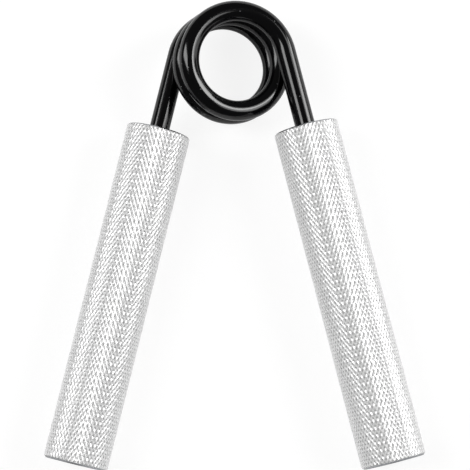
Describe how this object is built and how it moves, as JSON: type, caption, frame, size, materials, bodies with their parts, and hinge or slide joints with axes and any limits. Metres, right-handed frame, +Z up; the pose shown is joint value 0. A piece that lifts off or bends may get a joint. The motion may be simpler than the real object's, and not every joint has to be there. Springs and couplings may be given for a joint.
{
  "type": "hand grip strengthener",
  "caption": "Hand grip strengthener: a black torsion spring of round wire whose straight legs are seated in solid knurled aluminium handles.",
  "frame": {"origin": "below the middle of the part's box, at the height of its lowest point as it lies on a table", "axes": "+Z up, along the axis that the grip closes about; +Y from the handles towards the coil, along the line about which half a turn brings the part onto itself; +X to the right handle"},
  "size_m": [0.1392, 0.1728, 0.0319],
  "materials": {
    "knurled_aluminium": "bright diamond knurl",
    "black_spring_steel": "gloss black coating"
  },
  "bodies": {
    "left_side": {"left_handle": "knurled_aluminium", "left_spring_leg": "black_spring_steel", "spring_coil": "black_spring_steel"},
    "right_side": {"right_handle": "knurled_aluminium", "right_spring_leg": "black_spring_steel"}
  },
  "joints": [
    {"name": "grip_close", "type": "hinge", "parent": "left_side", "child": "right_side", "pos_m": [0, 0.06429, 0.01596], "axis": [0, 0, -1], "range_deg": [0, 34.2], "stiffness_Nm_per_rad": 106, "deforming": ["spring_coil"]}
  ]
}
